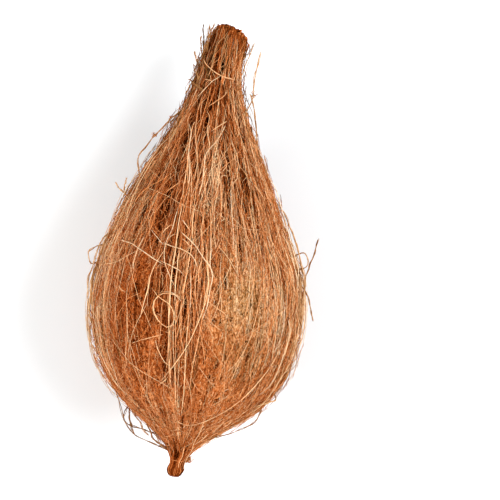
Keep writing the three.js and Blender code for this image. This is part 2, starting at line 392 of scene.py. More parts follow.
def lumps(s, angle):
    """Small lumps and pits of the felt."""
    rng = np.random.default_rng(12)
    fine = drift(rng, s, angle, 0.2, waves=12, turns=90, shortest=0.6, longest=2)
    broad = drift(rng, s, angle, 0.14, waves=8, turns=60, shortest=1.5, longest=9)
    return (fine + broad) * np.minimum(1, husk_width(s) / FULL_RELIEF_FROM)


# ---- strands ----

# The strands' palette: a column for each tone, with plain coir below and dusty coir above.
PALETTE_COLUMNS = 40
COLUMN_EDGE = 0.15  # a strand keeps this share of a column clear on both sides,
ROW_EDGE = 0.02  # and this share of a row
# painted shade and highlight: one side of every strand is painted darker and one paler, as a shaded
# and a lit side
SIDE_SHADE_AND_HIGHLIGHT = np.array([-0.25, 0.12, 0.0])  # the three sides of a strand differ this much
ROOT = -1.8  # how deep the rooted ends of loose strands are
FLOOR_GAP = 0.3 * MM  # strands stay this far above the floor
STRAY_SHARE = 0.022  # and go past the box of the solid by this share of its sides at most
LEAST_WIDTH = 5  # strands are spread as if the coir were at least this wide at their middle,
DRAWN_BELOW = 0.75  # and drawn together where it is thinner than this share of that


class Strands:
    """Strands of one piece, gathered before they are made into one mesh."""

    def __init__(self):
        self.paths, self.radii, self.tones, self.dusty = [], [], [], []

    def add(self, paths, radii, tones, dusty=0.0):
        self.paths.extend(paths)
        self.radii.extend(radii)
        self.tones.extend(np.broadcast_to(tones, len(paths)))
        self.dusty.extend(np.broadcast_to(dusty, len(paths)))


def wander(rng, count, points, length, heading, curl=0.0, waver=0.0, kinks=0.06):
    """Paths laid out flat: how far each goes along the coir and across it, about its middle."""
    t = np.linspace(0, 1, points)
    length = np.broadcast_to(length, count)[:, None]
    heading = np.broadcast_to(heading, count)[:, None]
    curl = np.broadcast_to(curl, count)[:, None]
    phase = rng.uniform(0, math.tau, (count, 1))
    waves = rng.uniform(0.8, 2.2, (count, 1))
    bend = waver * np.sin(math.tau * waves * t + phase) + rng.normal(0, kinks, (count, points))
    way = heading + curl * (t - 0.5) + bend
    step = length / (points - 1)
    middle = (way[:, 1:] + way[:, :-1]) / 2
    zero = np.zeros((count, 1))
    ahead = np.hstack([zero, np.cumsum(np.cos(middle) * step, axis=1)])
    across = np.hstack([zero, np.cumsum(np.sin(middle) * step, axis=1)])
    return ahead - ahead.mean(axis=1, keepdims=True), across - across.mean(axis=1, keepdims=True)


def ends_down(points, level, arch, root=-0.8, share=0.16, free_end=False):
    """Height of each point of a strand: sunk at its ends, level between them, and arched.

    Each end takes up a share of the length, and the last one may be free instead of sunk.
    """
    t = np.linspace(0, 1, points)
    from_end = t if free_end else np.minimum(t, 1 - t)
    risen = smoothstep(from_end, 0, share)
    level, arch = np.asarray(level, float)[..., None], np.asarray(arch, float)[..., None]
    curve = np.sin(math.pi / 2 * t) if free_end else np.sin(math.pi * t)
    return root + (level - root) * risen + arch * curve


def taper(points, radius, sharpness=0.12):
    """Radius of each point of a strand, going to nothing at both ends over a share of it."""
    t = np.linspace(0, 1, points)
    shape = np.sqrt(np.clip(np.minimum(t, 1 - t) / sharpness, 0, 1))
    return np.asarray(radius)[..., None] * shape * MM


def lay(along, angle, ahead, across, clear, gather=None, over=False):
    """Lays flat paths on the coir, whole between its two ends, beside its slits or over them."""
    first, last = ahead.min(axis=1), ahead.max(axis=1)
    along = np.clip(along, FIRST_PLACE - first, LAST_PLACE - last)[:, None] + ahead
    s = from_tip(along)
    middle = from_tip(along.mean(axis=1))
    middle_width = np.maximum(sheath_width(middle), LEAST_WIDTH)[:, None]
    width = np.maximum(sheath_width(s), middle_width * DRAWN_BELOW)
    turned = np.asarray(angle)[:, None] + across / width
    if gather is not None:
        turned, clear = gather(s, turned, clear)
    if not over:
        turned = parted(s, turned)[0]
    return on_coir(s, turned, clear + relief(s, turned))


def keep_in_box(path, radius):
    """Nothing sinks into the floor or strays far out of the box of the solid."""
    low, high = (np.array(corner) for corner in CAD_BOX)
    spare = (high - low) * STRAY_SHARE
    low, high = low - spare, high + spare
    low[2] = FLOOR_GAP
    path = np.clip(path, low, high)
    apart = np.linalg.norm(np.diff(path, axis=0), axis=1) > 0.01 * MM
    kept = np.concatenate([[True], apart])
    radius = radius[kept]
    radius[[0, -1]] = 0
    return path[kept], radius


def new_object(name, data):
    made = bpy.data.objects.new(name, data)
    bpy.context.collection.objects.link(made)
    return made


def made_mesh(name, solid):
    mesh = bpy.data.meshes.new(name)
    solid.to_mesh(mesh)
    solid.free()
    return mesh


def strand_section():
    """The three-sided section of a strand."""
    section = bpy.data.curves.new("strand_section", "CURVE")
    outline = section.splines.new("POLY")
    outline.points.add(2)
    for corner, point in enumerate(outline.points):
        turn = -math.tau * corner / 3
        point.co = (math.cos(turn), math.sin(turn), 0, 1)
    outline.use_cyclic_u = True
    return new_object("strand_section", section)


def strand_mesh(name, strands):
    """Runs a three-sided section along every path; both ends come to a point."""
    section = strand_section()
    curve = bpy.data.curves.new(name, "CURVE")
    curve.dimensions = "3D"
    curve.bevel_mode = "OBJECT"
    curve.bevel_object = section
    faces = []
    for path, radius in zip(strands.paths, strands.radii):
        path, radius = keep_in_box(path, radius)
        faces.append(3 * (len(path) - 1))
        spline = curve.splines.new("POLY")
        spline.points.add(len(path) - 1)
        points = np.column_stack([path, np.ones(len(path))])
        spline.points.foreach_set("co", points.ravel())
        spline.points.foreach_set("radius", radius)
    bundle = new_object(name, curve)
    depsgraph = bpy.context.evaluated_depsgraph_get()
    mesh = bpy.data.meshes.new_from_object(bundle.evaluated_get(depsgraph))
    for made in (bundle, section):
        bpy.data.objects.remove(made)
    place_in_palette(mesh, strands, np.array(faces) * 4)
    merge_doubles(mesh)
    shade_smooth(mesh)
    mesh.name = name
    return mesh


def place_in_palette(mesh, strands, corners):
    """Each side of a strand keeps to the palette column of its tone, shifted by that side's painted
    shade or highlight, from root to tip.
    """
    layer = mesh.uv_layers[0]
    layer.name = "OFBake"
    flat = np.empty(len(mesh.loops) * 2, dtype=np.float32)
    layer.data.foreach_get("uv", flat)
    along, around = flat.reshape(-1, 2).T
    side = np.repeat((around.reshape(-1, 4).mean(axis=1) * 3).astype(int), 4)
    tone = np.repeat(np.asarray(strands.tones), corners) + SIDE_SHADE_AND_HIGHLIGHT[side]
    column = np.clip(tone * PALETTE_COLUMNS, 0, PALETTE_COLUMNS - 1).astype(int)
    across = COLUMN_EDGE + (1 - 2 * COLUMN_EDGE) * (around * 3 - side)
    row = np.repeat(np.asarray(strands.dusty, float), corners)
    up = ROW_EDGE + (1 - 2 * ROW_EDGE) * along
    places = np.column_stack([(column + across) / PALETTE_COLUMNS, (up + row) / 2])
    layer.data.foreach_set("uv", places.astype(np.float32).ravel())


def merge_doubles(mesh):
    solid = bmesh.new()
    solid.from_mesh(mesh)
    bmesh.ops.remove_doubles(solid, verts=solid.verts, dist=0.001 * MM)
    solid.to_mesh(mesh)
    solid.free()


def shade_smooth(mesh):
    mesh.polygons.foreach_set("use_smooth", np.ones(len(mesh.polygons), dtype=bool))


def make_piece(name, mesh, material):
    piece = new_object(name, mesh)
    mesh.materials.clear()
    mesh.materials.append(material)
    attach(piece, "root")
    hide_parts("coconut")


# ---- the matted husk under the strands ----

HUSK_RINGS = 190
HUSK_SECTORS = 240
# How far the matted husk lies under the outline: where it is felted, elsewhere, and open.
FELTED_SUNK = 0.3
COMBED_SUNK = 1.6
OPEN_SUNK = 3.0
SUNK_FULLY_FROM = 12  # the half-width from which it lies that deep
ON_AXIS = 1e-3  # points nearer to the axis than this close the two ends
MAP_EDGE = 0.01  # the map of the husk keeps this share clear on both sides


def turned_husk():
    """The outline turned about the length of the coconut."""
    along = path_lengths(outline_points)
    rings = np.linspace(0, along[-1], HUSK_RINGS)
    solid = bmesh.new()
    ring_points = zip(np.interp(rings, along, outline_points[:, 1]),
                      np.interp(rings, along, outline_points[:, 0]))
    profile = [solid.verts.new((width, s, 0)) for width, s in ring_points]
    edges = [solid.edges.new(pair) for pair in zip(profile, profile[1:])]
    bmesh.ops.spin(solid, geom=profile + edges, axis=(0, 1, 0), cent=(0, 0, 0),
                   angle=math.tau, steps=HUSK_SECTORS, use_merge=True)
    bmesh.ops.remove_doubles(solid, verts=solid.verts, dist=1e-4)
    bmesh.ops.recalc_face_normals(solid, faces=solid.faces)
    return made_mesh("matted_husk", solid)


def map_husk(mesh, angle, share, on_axis):
    """Maps the husk by its turn and its length, with each face whole at the seam and the axis."""
    vertex = np.empty(len(mesh.loops), dtype=int)
    mesh.loops.foreach_get("vertex_index", vertex)
    corners = np.empty(len(mesh.polygons), dtype=int)
    mesh.polygons.foreach_get("loop_total", corners)
    starts = np.concatenate([[0], np.cumsum(corners)[:-1]])
    turn = angle[vertex]
    beside = np.where(on_axis[vertex], np.roll(turn, -1), turn)
    first = np.repeat(beside[starts], corners)
    whole_turns = np.round((first - turn) / math.tau)
    turn = np.where(on_axis[vertex], first, turn + math.tau * whole_turns)
    u = (turn / math.tau + 0.5) * (1 - 2 * MAP_EDGE) + MAP_EDGE
    layer = mesh.uv_layers.new(name="OFBake")
    layer.data.foreach_set("uv", np.column_stack([u, share[vertex]]).astype(np.float32).ravel())


def add_attribute(mesh, name, values):
    attribute = mesh.attributes.new(name, "FLOAT_VECTOR", "POINT")
    attribute.data.foreach_set("vector", np.column_stack(values).astype(np.float32).ravel())


def make_husk(material):
    """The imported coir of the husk, turned about its length and then raised into fibre relief."""
    mesh = turned_husk()
    flat = np.empty(len(mesh.vertices) * 3)
    mesh.vertices.foreach_get("co", flat)
    x, s, z = flat.reshape(-1, 3).T
    angle = np.arctan2(z, x)
    on_axis = np.hypot(x, z) < ON_AXIS
    paler, openness, felted = areas(s, angle)
    # inside a slit the husk counts as open: it lies deeper, and its tone is painted darker as shade
    openness = np.maximum(openness, parted(s, angle)[1])
    sunk = COMBED_SUNK + (FELTED_SUNK - COMBED_SUNK) * felted + OPEN_SUNK * openness
    sunk = sunk * np.minimum(1, husk_width(s) / SUNK_FULLY_FROM)
    depth = relief(s, angle) + lumps(s, angle) - sunk
    place = on_coir(s, angle, np.where(on_axis, -husk_width(s), depth), husk_width)
    place[:, 2] = np.maximum(place[:, 2], 0)
    mesh.vertices.foreach_set("co", place.ravel())

    # where each point is along and round the husk, and how pale, open and dusty it is there
    along = path_lengths(outline_points)
    share = np.interp(s, outline_points[:, 0], along / along[-1])
    add_attribute(mesh, "combed", [np.cos(angle), np.sin(angle), share])
    add_attribute(mesh, "state", [paler + mottle(s, angle), openness, dustiness(s, angle)])
    map_husk(mesh, angle, share, on_axis)
    shade_smooth(mesh)
    make_piece("matted_husk", mesh, material)


# ---- the combed strands ----

class Locks:
    """Draws strands together into locks, with slits left between them.

    They are drawn together more and more between two distances from the tip. How tightly a
    lock is drawn, how it weaves and how it rises change along it, and its middle is rounded up.
    """

    def __init__(self, rng, count, tightest, rounded, low, high):
        place = (np.arange(count) + rng.uniform(-0.3, 0.3, count)) / count
        self.count, self.rounded, self.low, self.high = count, rounded, low, high
        self.centre = place * math.tau
        self.tight = rng.uniform(0.2, tightest, count)
        self.phase = rng.uniform(0, math.tau, (3, count))
        self.every = rng.uniform(16, 48, (3, count))

    def wave(self, index, lock, s):
        return np.sin(s / self.every[index][lock] + self.phase[index][lock])

    def gather(self, s, angle, clear):
        middle = angle.mean(axis=1, keepdims=True) + 0 * s
        lock = np.round(middle / math.tau * self.count).astype(int) % self.count
        apart = short_way(angle - self.centre[lock])
        drawn = smoothstep(s, self.low, self.high)
        tight = self.tight[lock] * (0.55 + 0.45 * self.wave(0, lock, s)) * drawn
        weave = 0.6 / np.maximum(sheath_width(s), 9) * self.wave(1, lock, s) * drawn
        edge = np.clip(np.abs(apart) * self.count / math.pi, 0, 1.2)
        height = self.rounded * (0.45 * self.wave(2, lock, s) - edge**2) * drawn
        return angle - apart * tight + weave, clear + height


def coarse_and_fine(coarse, fine):
    """Gathers strands into fine locks, and those into coarse ones."""
    return lambda s, angle, clear: coarse.gather(s, *fine.gather(s, angle, clear))


def all_round(rng, count):
    return rng.uniform(0, math.tau, count)


def some(rng, count, share):
    """1 for a share of the strands, drawn at random, and 0 for the others."""
    return (rng.uniform(0, 1, count) < share) * 1.0


def dusted(rng, along, angle):
    """1 for the strands that are dusty, drawn by how dusty their place is."""
    return some(rng, len(along), dustiness(from_tip(along), angle))


def toned(rng, along, angle, tone, spread):
    """Tones for strands: their own, the tone of the area and slow changes over the coir."""
    s = from_tip(along)
    own = rng.normal(0, spread, len(s))
    return np.clip(tone + own + areas(s, angle)[0] + mottle(s, angle), 0.03, 0.99)


UNDERSIDE = -0.6  # the sine of the angle is less than this on the underside,
UNDERSIDE_SHARE = 0.6  # which has this share of the strands that other sides have


def spread_over(rng, count, low, high, fewer_open=0.0, fewer_felted=0.0, fewer_combed=0.0):
    """Places on the coir, spread evenly over its surface, with fewer on the underside."""
    along = np.empty(0)
    angle = np.empty(0)
    places = np.linspace(low, high, 400)
    weight = np.cumsum(sheath_width(from_tip(places)))
    while len(along) < count:
        try_along = np.interp(rng.uniform(0, weight[-1], count), weight, places)
        try_angle = all_round(rng, count)
        wanted = np.where(np.sin(try_angle) < UNDERSIDE, UNDERSIDE_SHARE, 1.0)
        openness, felted = areas(from_tip(try_along), try_angle)[1:]
        wanted = wanted * (1 - fewer_open * openness) * (1 - fewer_felted * felted)
        wanted = wanted * (1 - fewer_combed * (1 - felted))
        taken = rng.uniform(0, 1, count) < wanted
        along = np.concatenate([along, try_along[taken]])
        angle = np.concatenate([angle, try_angle[taken]])
    return along[:count], angle[:count]


# Two layers of the neck: how many strands, how far clear of the outline and of what tone; the
# deeper layer's darker tone is painted shade.
NECK_LAYERS = [(950, -2.0, 0.12), (2350, -0.5, 0.5)]
NECK_FROM = along_coir(116)
PAST_THE_CUT = 26  # strands placed up to this far past the last place all end at it


def neck_strands():
    """Strands combed up the shoulders into the tuft, drawn into coarse and fine locks."""
    rng = np.random.default_rng(21)
    locks = coarse_and_fine(
        Locks(rng, count=23, tightest=0.6, rounded=2.1, low=105, high=160),
        Locks(rng, count=90, tightest=0.8, rounded=0.5, low=100, high=145))
    strands = Strands()
    points = 9
    for count, level, tone in NECK_LAYERS:
        length = rng.uniform(24, 90, count)
        along = rng.uniform(NECK_FROM, LAST_PLACE + PAST_THE_CUT, count)
        last_middle = LAST_PLACE - length / 2
        to_the_end = along > last_middle
        along = np.where(to_the_end, last_middle + rng.normal(0, 0.8, count), along)
        angle = all_round(rng, count)
        heading = rng.normal(0, 0.08, count)
        ahead, across = wander(rng, count, points, length, heading, waver=0.06)
        lift = rng.uniform(-0.5, 0.5, count)
        arched = ends_down(points, level + lift, rng.uniform(0, 0.5, count), root=-2.6, share=0.1)
        risen = ends_down(points, level + lift, 0, root=-2.6, share=0.2, free_end=True)
        height = np.where(to_the_end[:, None], risen, arched)
        paths = lay(along, angle, ahead, across, height, locks)

        # strands that reach the cut end are cut off blunt there
        radii = taper(points, rng.uniform(0.09, 0.2, count), 0.06)
        cut = paths[:, -2] + (paths[:, -1] - paths[:, -2]) * 0.02
        paths[:, -1] = np.where(to_the_end[:, None], cut, paths[:, -1])
        radii[:, -2] = np.where(to_the_end, radii[:, -3], radii[:, -2])
        # painted shade: strands lying lower are darker
        tones = toned(rng, along, angle, tone + 0.3 * lift, 0.19)

        # few of them reach down over the open ridges
        low_on_ridge = (from_tip(along) < 150) & (areas(from_tip(along), angle)[1] > 0.6)
        kept = ~(low_on_ridge & (rng.uniform(0, 1, count) < 0.8))
        strands.add(paths[kept], radii[kept], tones[kept], dusted(rng, along, angle)[kept])
    return strands


def neck_fuzz():
    """Fine short strands over the long ones of the shoulders and the neck."""
    rng = np.random.default_rng(22)
    strands = Strands()
    count, points = 3000, 6
    along = rng.uniform(along_coir(112), LAST_PLACE, count)
    angle = all_round(rng, count)
    length = rng.uniform(6, 26, count)
    heading = rng.normal(0, 0.16, count)
    ahead, across = wander(rng, count, points, length, heading, waver=0.15, kinks=0.14)
    level = rng.uniform(-0.7, 0.5, count)
    height = ends_down(points, level, rng.uniform(0, 0.5, count), root=-1.4)
    paths = lay(along, angle, ahead, across, height)
    tone = toned(rng, along, angle, 0.56, 0.21)
    strands.add(paths, taper(points, rng.uniform(0.09, 0.19, count), 0.2), tone,
                dusted(rng, along, angle))

    # short fibres that mat the others
    count, points = 7500, 3
    along, angle = spread_over(rng, count, along_coir(108), along_coir(222))
    length = rng.uniform(1, 5, count)
    ahead, across = wander(rng, count, points, length, rng.normal(0, 0.7, count))
    level = rng.uniform(-1.1, 0.3, count)
    height = ends_down(points, level, 0, root=(level - 0.5)[:, None])
    paths = lay(along, angle, ahead, across, height)
    # painted shade: the lower a matting fibre lies, the darker its tone
    strands.add(paths, taper(points, rng.uniform(0.1, 0.22, count)),
                toned(rng, along, angle, 0.52 + 0.2 * level, 0.16), dusted(rng, along, angle))
    return strands


def body_strands():
    """Long strands combed down the body and drawn together at the knot."""
    rng = np.random.default_rng(31)
    locks = coarse_and_fine(
        Locks(rng, count=60, tightest=0.5, rounded=0.5, low=30, high=70),
        Locks(rng, count=130, tightest=0.6, rounded=0.35, low=20, high=60))
    strands = Strands()
    count, points = 3600, 8
    along, angle = spread_over(rng, count, 4, along_coir(165), fewer_open=1, fewer_felted=0.9)
    length = rng.uniform(15, 70, count) * np.clip(along / 60, 0.4, 1)
    heading = rng.normal(0, 0.08, count)
    ahead, across = wander(rng, count, points, length, heading, waver=0.09)
    lift = rng.uniform(-0.6, 0.6, count)
    height = ends_down(points, lift - 0.9, rng.uniform(0, 0.4, count), root=-2)
    paths = lay(along, angle, ahead, across, height, locks)
    # painted shade: strands lying lower are darker
    tone = toned(rng, along, angle, 0.5 + 0.3 * lift, 0.19)
    strands.add(paths, taper(points, rng.uniform(0.1, 0.22, count)), tone,
                dusted(rng, along, angle))
    return strands


def under_strands():
    """The layer below, which shows between the others, painted darker as shade, most where the coir
    is open.
    """
    rng = np.random.default_rng(41)
    strands = Strands()
    count, points = 1700, 7
    along, angle = spread_over(rng, count, along_coir(40), along_coir(234), fewer_felted=0.9)
    length = rng.uniform(18, 50, count)
    s = from_tip(along)
    openness = areas(s, angle)[1]
    heading = rng.normal(0, 0.3, count) * (1 - 0.75 * smoothstep(s, 120, 170))
    ahead, across = wander(rng, count, points, length, heading, waver=0.2)
    height = ends_down(points, rng.uniform(-1.9, -1.2, count) - 0.9 * openness, 0, root=-4)
    paths = lay(along, angle, ahead, across, height)
    # painted shade: this deeper layer is dark, darkest where the coir is open
    tone = toned(rng, along, angle, 0.34 - 0.28 * openness, 0.06)
    strands.add(paths, taper(points, rng.uniform(0.2, 0.4, count)), tone,
                dusted(rng, along, angle))
    return strands


def felt(seed, count, points, lengths, curl, radii, dark):
    """Short fibres that mat the body, a share of them dark."""
    rng = np.random.default_rng(seed)
    strands = Strands()
    along, angle = spread_over(rng, count, 9, along_coir(172), fewer_open=0.8, fewer_combed=0.6)
    length = rng.uniform(*lengths, count)
    heading = rng.normal(0, 0.65, count)
    ahead, across = wander(rng, count, points, length, heading, curl=rng.normal(0, curl, count))
    lift = rng.uniform(-0.6, 0.6, count)
    rough = lumps(from_tip(along), angle)
    level = 0.6 * lift + rough - 0.15 - 0.7 * (1 - areas(from_tip(along), angle)[2])
    height = ends_down(points, level, 0, root=(level - 0.5)[:, None], share=0.3)
    paths = lay(along, angle, ahead, across, height)
    # painted shade: fibres lying lower, and in the pits between the lumps, are darker
    tone = toned(rng, along, angle, 0.54 + 0.1 * lift + 0.3 * rough, 0.14)
    darker = rng.uniform(0, 1, count) < dark
    tone = np.where(darker, rng.uniform(0.03, 0.2, count), tone)
    strands.add(paths, taper(points, rng.uniform(*radii, count), 0.3), tone,
                dusted(rng, along, angle))
    return strands


def felt_fibres():
    return felt(51, count=9000, points=4, lengths=(1.4, 4.5), curl=0.9, radii=(0.1, 0.18),
                dark=0.03)


def felt_flecks():
    return felt(52, count=24000, points=3, lengths=(0.7, 2.1), curl=0, radii=(0.14, 0.25),
                dark=0.1)


# ---- loose strands ----

# Strands laid over the coir along listed routes, with both ends rooted in it: how far the middle is
# clear of it and the places passed, from the tip and across as seen from above.
LAID_OVER = [
    # long arc round the lower right
    (1.6, [(40.2, -4.2), (30.8, -1.5), (30.7, 8.2), (42.8, 26.1), (60.5, 40.1), (79.9, 49.3)]),
    # down the middle
    (1.8, [(31.9, -0.5), (47.4, -0.2), (75.9, -1.9), (101.9, -2.8)]),
    (2.2, [(48.5, 2.7), (62.3, 2.8), (90.4, 4.7), (114.3, 1.8)]),
    (2.8, [(49.3, -13.7), (60.4, -6.7), (76.9, 1), (101.9, 5.7), (127.8, -0.2)]),
    (2.4, [(46.4, -6.9), (64.3, -9.6), (102.8, -13.3), (149.2, -12.8)]),
    # along the ridge and across it
    (1.6, [(144.4, -13.8), (135.6, -15.1), (128.8, -16), (121, -18.4), (112.4, -17.7),
      (103.8, -13.3), (99.9, -10.4)]),
    (2.2, [(144.3, -12.3), (134.6, -13.1), (125.9, -13), (117.2, -12.9), (107.6, -13.3),
      (93.2, -12.3), (81.7, -11.4)]),
    (2, [(127.8, -12.1), (117.2, -11), (108.6, -10.9), (98, -10.4), (88.5, -9.4)]),
    (2.4, [(146.3, -5.1), (138.5, -6.4), (129.7, -5.9), (122, -5.3), (109.5, -5.7),
      (98, -6.1), (87.5, -4.7)]),
    (2, [(111.4, -4.8), (103.8, -3.3), (95.2, -2.3), (86.6, -1.4)]),
    (2, [(146.3, -2.7), (136.5, -1.2), (129.7, -1.6), (122, 0.4), (116.2, 0.9), (108.6, 0),
      (100.9, 0.9)]),
    (2.2, [(127.8, 0.3), (120.1, 2.7), (112.4, 3.7), (104.7, 5.2), (96.1, 4.7), (88.5, 4.7)]),
    (2.4, [(132.6, 2.7), (121, 4.6), (113.4, 5.1), (107.6, 7.1), (100, 6.6), (92.3, 6.2),
      (83.7, 4.3)]),
    (3.2, [(122, -22.8), (120.1, -14.9), (119.1, -9.1), (117.2, -5.3), (114.3, -2.4),
      (109.5, -0.5)]),
    (3.4, [(128.8, -13), (125.9, -8.7), (122, -3.4), (116.2, 1.4), (112.4, 5.2), (105.7, 8.5)]),
    (3, [(112.4, -21.1), (110.5, -14.8), (108.6, -10), (104.8, -5.7)]),
    (2.8, [(96.1, -19.1), (97.1, -12.8), (95.2, -8.9), (92.3, -6.1)]),
    (1.8, [(96.1, 3.8), (92.3, 10.4), (89.4, 15.6), (85.5, 19.5)]),
    (2.4, [(135.6, -13.6), (131.7, -9.2), (127.8, -5.9)]),
    # the shoulders
    (2.4, [(185.2, -16), (180, -13.3), (175, -13.2), (169, -13.1), (163, -12), (158.1, -11),
      (148.2, -10.9)]),
    (2.2, [(186.1, -11.9), (183.1, -12.9), (177, -13.3), (167, -13.1), (158.1, -13),
      (149.2, -13.3)]),
    (2.2, [(187, 4.2), (177.9, 0.9), (171.9, -2.9), (168, -4.3), (162, -4.3), (152.2, -4.2),
      (145.3, -5.6)]),
    (2, [(146.4, -23.3), (150.3, -18.8), (155.2, -13.4)]),
    (1.8, [(181, -4), (185, 0.8), (189.1, 5.2)]),
    (1.6, [(185, -5.5), (179, -4.5), (174, -3), (166, -3.8)]),
    # across the neck
    (1.4, [(222, -15.5), (217.3, -11.4), (213.2, -6.2), (211.1, -1.8), (210.2, 2.7),
      (210.5, 8.8)]),
    (1.6, [(196.3, -15.3), (202.2, -10.2), (208.1, -5.7), (212.1, -0.8)]),
    (1.6, [(193.1, -8), (197.1, -3.2), (201.1, 1.2), (205.2, 1.7)]),
    (1.2, [(190.3, -16.8), (195.4, -15.8), (202.4, -13.9), (207.5, -14)]),
    (1.2, [(220, -19), (218.6, -15.5), (214.4, -11.4)]),
    (1.4, [(208.3, -11.3), (208.2, -7.7), (206.1, -3.2)]),
    # on the left
    (2, [(127.8, -28), (123.9, -23.4), (119.1, -18.3)]),
    (2.4, [(119.1, -17.8), (111.4, -21.6), (103.7, -24), (98.9, -24), (90.2, -25.5),
      (79.6, -27.1)]),
    (2.4, [(98.9, -23.5), (94.6, -19.1), (92.7, -15.7), (90.8, -12.3), (86.1, -9.4),
      (82.7, -9), (80.3, -9.9), (79.3, -12.8), (82.2, -17.1), (85.5, -19.6), (89.3, -20.5),
      (93.2, -19.6), (96.1, -16.2), (96.1, -11.8), (95.6, -8.5), (93.7, -6.6)]),
    (2.4, [(125.4, -21.4), (128.3, -19.4), (130.7, -17), (130.7, -14.6)]),
    (2.2, [(123.5, -17.4), (125.4, -16), (126.8, -13.1)]),
    (2.6, [(135.6, -12.7), (132.6, -10.2), (128.8, -6.8)]),
    (2.4, [(129.3, -13.1), (126.8, -9.7), (124.9, -6.8), (122.5, -4.9)]),
    (2.4, [(124.9, -13), (123.9, -9.2), (122, -6.8), (119.6, -3.9)]),
    (2.2, [(120, -44.3), (119.1, -37.2), (116.2, -30.8), (112.4, -22.7), (109.5, -15.8)]),
    (1.4, [(96.8, -40.6), (94.9, -38.5), (93.9, -35.8)]),
    (1.4, [(125.9, -29.6), (120.1, -31.5), (115.2, -33), (109.4, -33.9), (103.6, -33.3)]),
    (2, [(66.7, -33.6), (70.8, -25.2), (73.9, -17.7), (75.9, -12.8)]),
    (1.6, [(72.9, -17.7), (67.1, -15.4), (61.3, -11.1), (59.3, -7.2)]),
    (1.6, [(48.2, -14.2), (52.3, -10.2), (57.4, -7.3)]),
    (1, [(75.5, -33.9), (67.6, -32.6), (60.7, -32.3), (53.7, -30.5)]),
    (1.2, [(69.1, -44.9), (60.2, -42), (52.2, -38.1), (44.2, -33.8), (39.3, -27.7)]),
    (1, [(65.7, -49.4), (56.9, -44.4), (48, -38.4), (42.1, -32.9)]),
]
# Strands clear of the outline, with which of their ends are rooted.
LAID_OUTSIDE = [
    # the left outline
    (1.4, "both", [(193, -20.5), (187, -25), (181, -29), (176, -33), (170, -36.5), (164, -40),
      (152, -44)]),
    (2, "last", [(153, -44.5), (146, -45), (141, -46)]),
    (2, "last", [(150, -50), (147, -48), (142, -45.5)]),
    (1.2, "both", [(125, -51), (120, -53), (115, -54.5), (103, -57), (99, -58), (87, -57),
      (72, -54.5)]),
    (1.2, "both", [(126, -49.5), (120, -51), (109, -54), (99, -55.5), (87, -54.5), (79, -53)]),
    (2, "both", [(117, -53), (114, -57.5), (112, -59.5), (109, -59), (106, -57.5), (107, -54.5)]),
    (1, "both", [(107, -54.5), (100, -55.5), (95, -56), (87, -55.5), (80, -55), (74, -52.5)]),
    (1, "both", [(77, -54), (70, -53.5), (63, -51.5), (58, -48.5)]),
    # the right outline
    (1, "both", [(151, 35.5), (144, 40.5), (138, 43.5), (133, 46.5), (119, 52), (108, 55.5),
      (85, 56)]),
    (1.4, "last", [(134, 59.5), (127, 58.5), (120, 57), (113, 55.5), (107, 55.5), (98, 54.5)]),
    (1.6, "both", [(122, 50), (125, 52.5), (122, 55), (118, 55), (115, 53)]),
    (1.4, "first", [(109, 54), (104, 57), (99, 59), (90, 62)]),
    (1.2, "both", [(51, 50.5), (47, 47.5), (44, 40.5), (41, 34.5)]),
    (1.2, "both", [(120, 50.5), (111, 54), (103, 55.5), (94, 56), (86, 55.5)]),
    (0.8, "both", [(120, 49.5), (111, 52.5), (100, 54), (91, 55), (81, 54.5)]),
    # beside the neck and the tuft
    (1, "first", [(202, 7.5), (211, 8.5), (221, 10.5), (236, 13.5)]),
    (1, "first", [(189, 11), (197, 14.5), (204, 16), (212, 15.5), (222, 16.5), (231, 17)]),
    (1, "first", [(174, 22), (186, 20), (196, 17.5), (205, 14)]),
    (1, "both", [(175, 21), (171, 25), (163, 29), (156, 32)]),
]
# Dark strands that droop, are knotted or are broken.
LAID_DARK = [
    # drooping at the lower left
    (1, "both", [(46, -40), (39, -35.5), (33, -32.5), (24, -28.5), (20, -24), (18, -19),
      (16, -12.5), (13, -7)]),
    (1, "first", [(35, -30), (29, -28), (24, -26), (20, -24)]),
    (1, "first", [(36, -29), (30, -25), (26, -21.5), (22, -19), (20, -16)]),
    (1, "both", [(30, -20.5), (23, -16), (18, -13), (14, -8.5)]),
    (1, "both", [(24, -15), (20, -12), (16, -9.5), (13, -7)]),
    (1, "both", [(35, -33.5), (30, -30.5), (25, -28), (21, -25)]),
    # at the lower right
    (5, "both", [(22, 12), (27, 27), (35, 39), (44, 44)]),
    # broken, on the left of the tuft
    (1, "first", [(219.5, -11), (226.5, -11), (233, -10), (237, -9)]),
    (1, "first", [(219, -12), (225.5, -11.5), (231, -11.5), (235, -11.5)]),
    (1, "first", [(213, -11.5), (221, -12.5), (227, -12)]),
    (1, "first", [(215, -12.5), (223, -14), (229.5, -15)]),
    (1, "first", [(212.5, -14), (208, -16), (203.5, -18), (200, -19)]),
    (1, "first", [(213.5, -14.5), (218.5, -16), (222, -17.5)]),
    (1.4, "first", [(193, -19.5), (188, -23), (183.5, -25.5)]),
    (1, "first", [(206, -6.5), (213, -9.5), (219, -12), (227, -13.5), (235, -15)]),
    (1, "first", [(204, -9), (209, -13.5), (216, -17.5)]),
    (1, "first", [(200, -5.5), (204, -12.5), (208, -18.5)]),
    (1, "first", [(190, -20), (197, -17.5), (203, -15.5), (211, -12.5)]),
]


def angle_across(s, across, clear):
    """The angle, on the upper side, of a place seen this far across from above."""
    cosine = (across - side_bend(s)) / (sheath_width(s) + clear)
    return np.arccos(np.clip(cosine, -1, 1))


def even_steps(points, count):
    """Points spaced evenly along the smooth curve through some points."""
    dense = smooth_curve(points, 120)
    lengths = np.concatenate([[0], np.cumsum(np.linalg.norm(np.diff(dense, axis=0), axis=1))])
    return np.column_stack([np.interp(np.linspace(0, lengths[-1], count), lengths, axis)
                            for axis in dense.T])


FRAYED = 3  # each listed strand is this many fine fibres, loosely side by side
